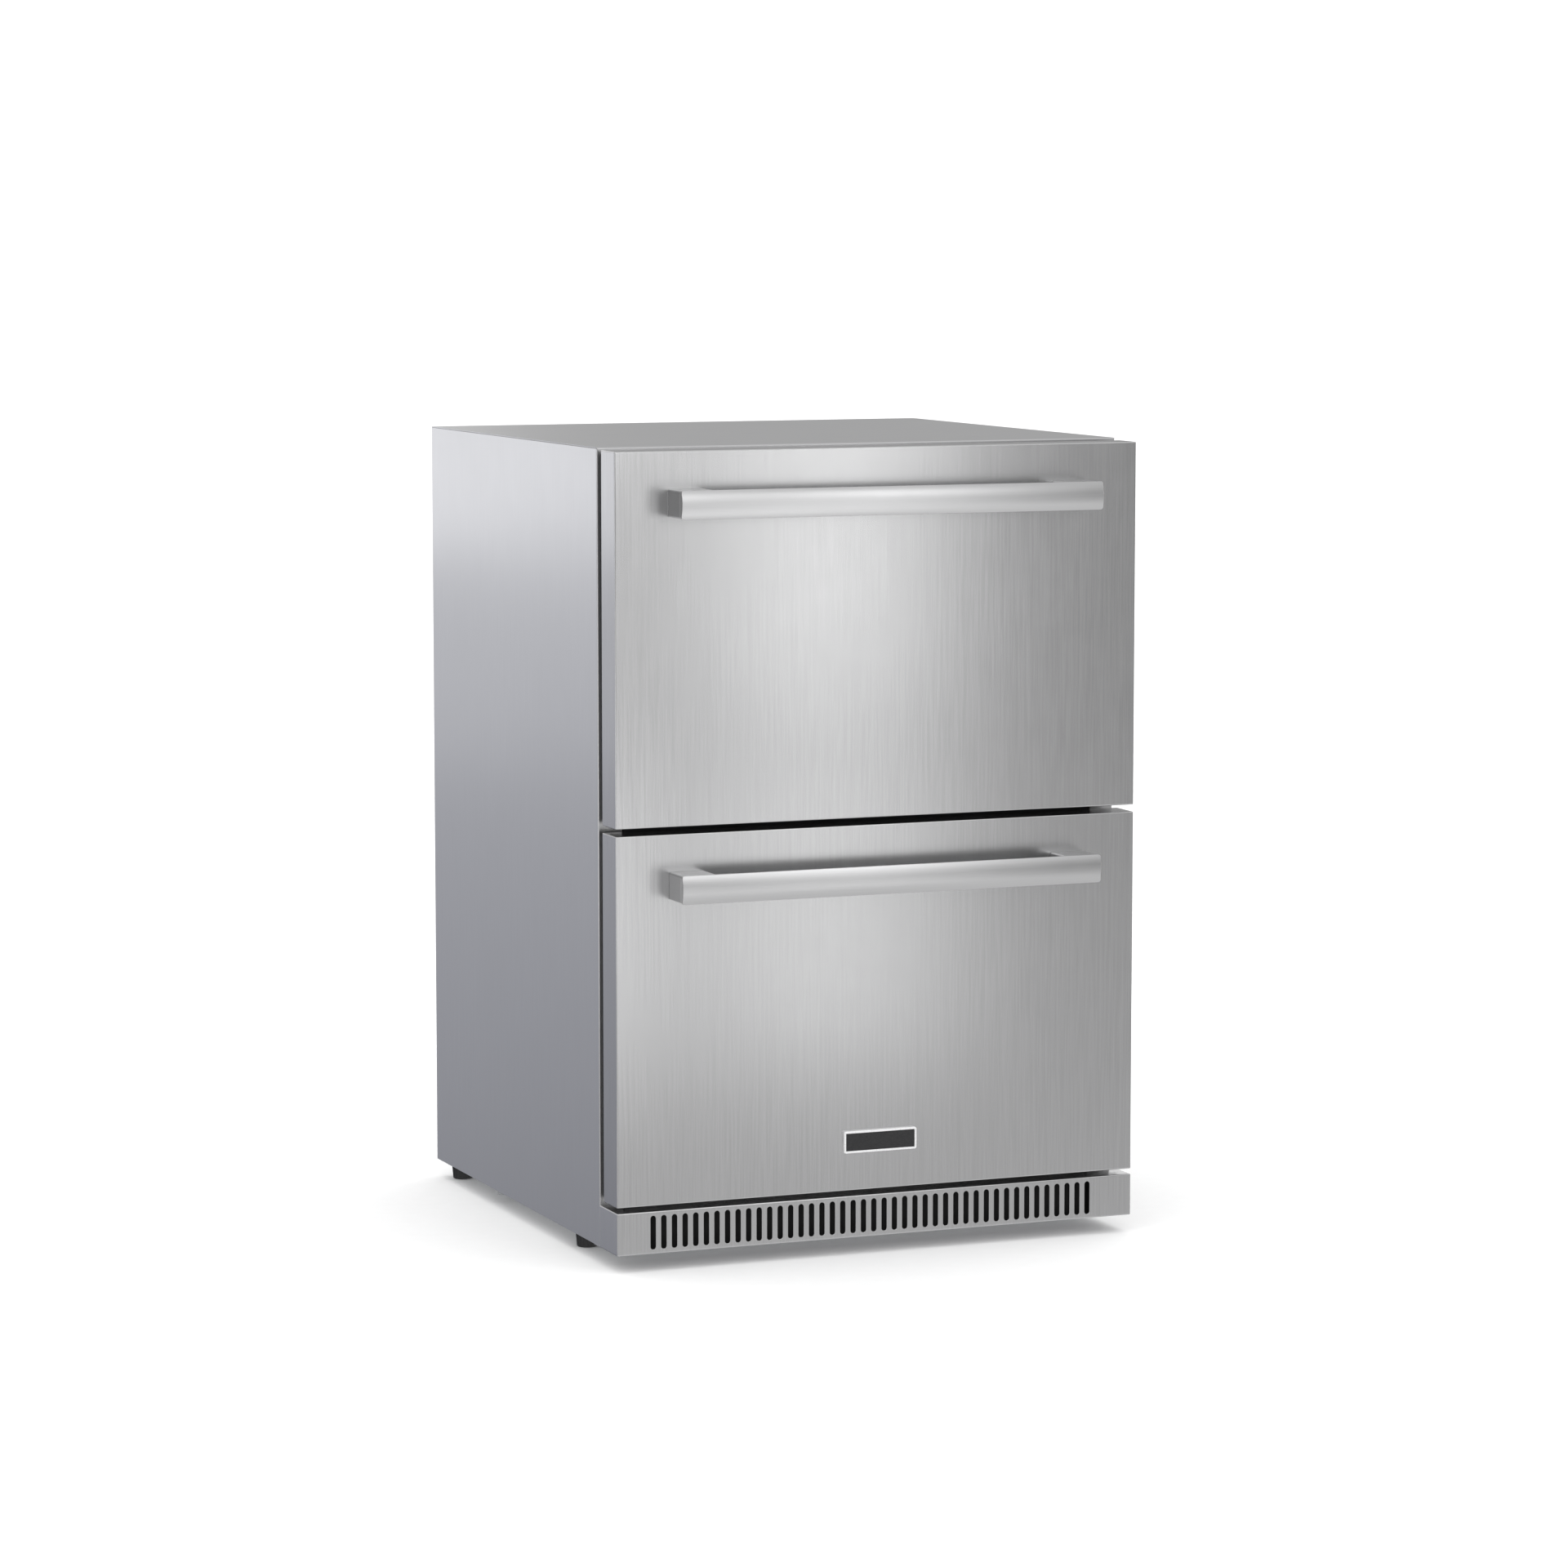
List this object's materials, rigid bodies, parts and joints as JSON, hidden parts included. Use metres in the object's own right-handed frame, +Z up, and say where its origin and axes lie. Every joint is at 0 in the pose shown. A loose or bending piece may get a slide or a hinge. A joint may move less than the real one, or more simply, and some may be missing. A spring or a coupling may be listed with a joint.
{
  "type": "undercounter refrigerator",
  "caption": "Stainless undercounter refrigerator with stacked drawers, bar handles, a slotted toe grille and levelling feet.",
  "frame": {"origin": "centre of the object's box on the floor, at the level of the feet's soles", "axes": "+Z up, front with the handles towards -Y, +X to the right of a person who faces the front"},
  "size_m": [0.597, 0.6406, 0.864],
  "materials": {
    "stainless": "fine vertical brushing, satin",
    "handle_post": "satin, darker than the bar",
    "galvanised": "zinc-coated sheet, dull",
    "slide_zinc": "bright zinc plating",
    "liner": "smooth, semi-gloss white",
    "foam": "rigid foam, cut surface",
    "black_plastic": "moulded, fine grain",
    "foot_black": "moulded with grip ribs, satin",
    "grey_plastic": "moulded, satin",
    "gasket": "soft magnetic seal, matt",
    "black_paint": "semi-gloss enamel",
    "coil": "mill finish fins",
    "light": "frosted diffuser",
    "badge_metal": "satin chrome rim",
    "badge_field": "black, leather-like grain"
  },
  "bodies": {
    "cabinet": {"back_panel": "galvanised", "base_pan": "galvanised", "bottom_rail": "stainless", "compartment_wall": "galvanised", "compressor": "black_paint", "condenser_coil": "coil", "condenser_fan_motor": "galvanised", "control_panel": "black_plastic", "cord_grommet": "black_plastic", "drain_pan": "black_plastic", "drain_spout": "grey_plastic", "evaporator_coil": "coil", "evaporator_cover": "liner", "evaporator_fan_motor": "galvanised", "fan_shroud": "black_plastic", "inner_liner": "liner", "insulation": "foam", "left_side_panel": "stainless", "light_cover": "light", "lower_slide_cabinet_left": "slide_zinc", "lower_slide_cabinet_right": "slide_zinc", "mullion": "black_plastic", "rear_cover": "galvanised", "right_side_panel": "stainless", "terminal_cover": "black_plastic", "toe_grille": "stainless", "top_panel": "stainless", "upper_slide_cabinet_left": "slide_zinc", "upper_slide_cabinet_right": "slide_zinc"},
    "upper_drawer": {"upper_front_skin": "stainless", "upper_inner_panel": "liner", "upper_gasket": "gasket", "upper_bin": "stainless", "upper_handle_bar": "stainless", "upper_handle_post_left": "handle_post", "upper_handle_post_right": "handle_post", "upper_slide_drawer_left": "slide_zinc", "upper_slide_drawer_right": "slide_zinc"},
    "lower_drawer": {"lower_front_skin": "stainless", "lower_inner_panel": "liner", "lower_gasket": "gasket", "lower_bin": "stainless", "lower_handle_bar": "stainless", "lower_handle_post_left": "handle_post", "lower_handle_post_right": "handle_post", "lower_slide_drawer_left": "slide_zinc", "lower_slide_drawer_right": "slide_zinc", "badge_frame": "badge_metal", "badge_field": "badge_field"},
    "upper_slide_middle_left": {"upper_slide_middle_left": "slide_zinc"},
    "upper_slide_middle_right": {"upper_slide_middle_right": "slide_zinc"},
    "lower_slide_middle_left": {"lower_slide_middle_left": "slide_zinc"},
    "lower_slide_middle_right": {"lower_slide_middle_right": "slide_zinc"},
    "condenser_fan": {"condenser_fan": "black_plastic"},
    "evaporator_fan": {"evaporator_fan": "black_plastic"},
    "foot_front_left": {"foot_front_left": "foot_black"},
    "foot_front_right": {"foot_front_right": "foot_black"},
    "foot_rear_left": {"foot_rear_left": "foot_black"},
    "foot_rear_right": {"foot_rear_right": "foot_black"}
  },
  "joints": [
    {"name": "upper_drawer_slide", "type": "slide", "parent": "cabinet", "child": "upper_drawer", "axis": [0, -1, 0], "range_m": [0, 0.4]},
    {"name": "lower_drawer_slide", "type": "slide", "parent": "cabinet", "child": "lower_drawer", "axis": [0, -1, 0], "range_m": [0, 0.4]},
    {"name": "upper_slide_left", "type": "slide", "parent": "cabinet", "child": "upper_slide_middle_left", "axis": [0, -1, 0], "range_m": [0, 0.2]},
    {"name": "upper_slide_right", "type": "slide", "parent": "cabinet", "child": "upper_slide_middle_right", "axis": [0, -1, 0], "range_m": [0, 0.2]},
    {"name": "lower_slide_left", "type": "slide", "parent": "cabinet", "child": "lower_slide_middle_left", "axis": [0, -1, 0], "range_m": [0, 0.2]},
    {"name": "lower_slide_right", "type": "slide", "parent": "cabinet", "child": "lower_slide_middle_right", "axis": [0, -1, 0], "range_m": [0, 0.2]},
    {"name": "condenser_fan_spin", "type": "hinge", "parent": "cabinet", "child": "condenser_fan", "pos_m": [0.125, 0.168, 0.128], "axis": [0, 1, 0], "continuous": true},
    {"name": "evaporator_fan_spin", "type": "hinge", "parent": "cabinet", "child": "evaporator_fan", "pos_m": [0.125, 0.235, 0.665], "axis": [0, 1, 0], "continuous": true},
    {"name": "foot_front_left_screw", "type": "slide", "parent": "cabinet", "child": "foot_front_left", "axis": [0, 0, -1], "range_m": [0, 0.02]},
    {"name": "foot_front_right_screw", "type": "slide", "parent": "cabinet", "child": "foot_front_right", "axis": [0, 0, -1], "range_m": [0, 0.02]},
    {"name": "foot_rear_left_screw", "type": "slide", "parent": "cabinet", "child": "foot_rear_left", "axis": [0, 0, -1], "range_m": [0, 0.02]},
    {"name": "foot_rear_right_screw", "type": "slide", "parent": "cabinet", "child": "foot_rear_right", "axis": [0, 0, -1], "range_m": [0, 0.02]}
  ],
  "couplings": [
    {"joint": "upper_slide_left", "follows": "upper_drawer_slide", "ratio": 0.5},
    {"joint": "upper_slide_right", "follows": "upper_drawer_slide", "ratio": 0.5},
    {"joint": "lower_slide_left", "follows": "lower_drawer_slide", "ratio": 0.5},
    {"joint": "lower_slide_right", "follows": "lower_drawer_slide", "ratio": 0.5}
  ]
}
